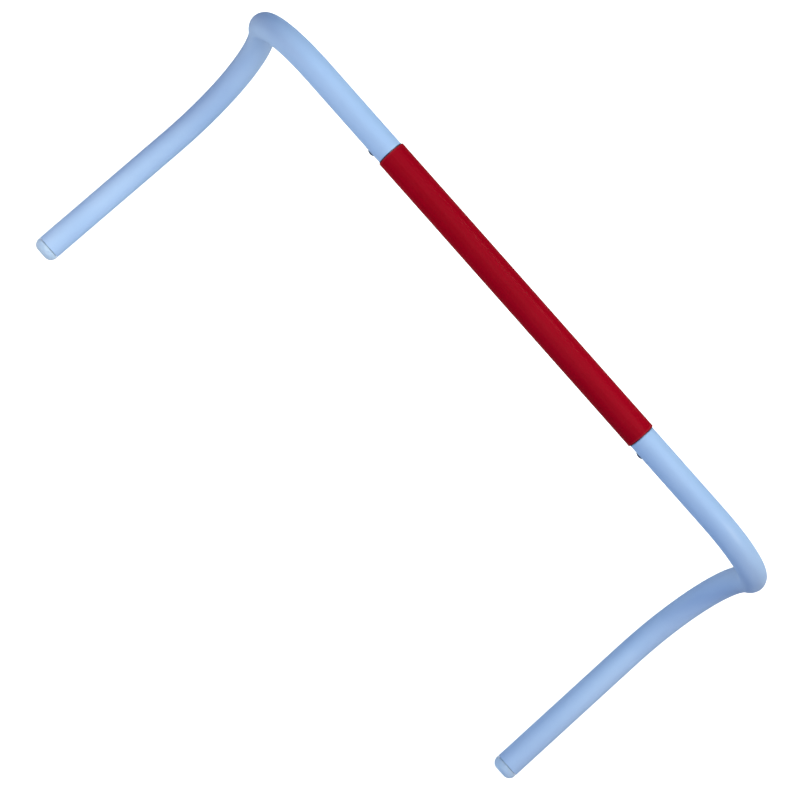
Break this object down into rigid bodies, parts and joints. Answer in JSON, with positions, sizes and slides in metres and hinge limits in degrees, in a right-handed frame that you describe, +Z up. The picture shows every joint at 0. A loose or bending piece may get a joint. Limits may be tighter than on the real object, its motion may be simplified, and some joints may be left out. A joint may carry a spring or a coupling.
{
  "type": "training hurdle",
  "caption": "Low knock-down training hurdle: bent tube legs with forward feet, locked by snap buttons on a joining tube under a loose crossbar sleeve.",
  "frame": {"origin": "middle of the hurdle's outline on the floor", "axes": "+X along the crossbar to the right leg, +Y to the back, away from the feet, +Z up"},
  "size_m": [0.6998, 0.3021, 0.2297],
  "materials": {
    "leg_powder_coat": "satin",
    "joining_tube_aluminium": "satin",
    "sleeve_plastic": "satin",
    "button_steel": "gloss",
    "spring_steel": "satin",
    "plug_plastic": "satin",
    "ballast_steel": "matte"
  },
  "bodies": {
    "hurdle_frame": {"left_leg_tube": "leg_powder_coat", "right_leg_tube": "leg_powder_coat", "crossbar_joining_tube": "joining_tube_aluminium", "left_button_spring": "spring_steel", "right_button_spring": "spring_steel", "left_end_plug": "plug_plastic", "right_end_plug": "plug_plastic", "left_ballast_rod": "ballast_steel", "right_ballast_rod": "ballast_steel"},
    "sleeve": {"crossbar_sleeve": "sleeve_plastic"},
    "left_button": {"left_snap_button": "button_steel"},
    "right_button": {"right_snap_button": "button_steel"}
  },
  "joints": [
    {"name": "sleeve_turn", "type": "hinge", "parent": "hurdle_frame", "child": "sleeve", "pos_m": [0, 0.1372, 0.2159], "axis": [1, 0, 0], "continuous": true},
    {"name": "left_button_press", "type": "slide", "parent": "hurdle_frame", "child": "left_button", "axis": [0, 0.8387, 0.5446], "range_m": [0, 0.004], "stiffness_N_per_m": 1500, "deforming": ["left_button_spring"]},
    {"name": "right_button_press", "type": "slide", "parent": "hurdle_frame", "child": "right_button", "axis": [0, 0.8387, 0.5446], "range_m": [0, 0.004], "stiffness_N_per_m": 1500, "deforming": ["right_button_spring"]}
  ]
}
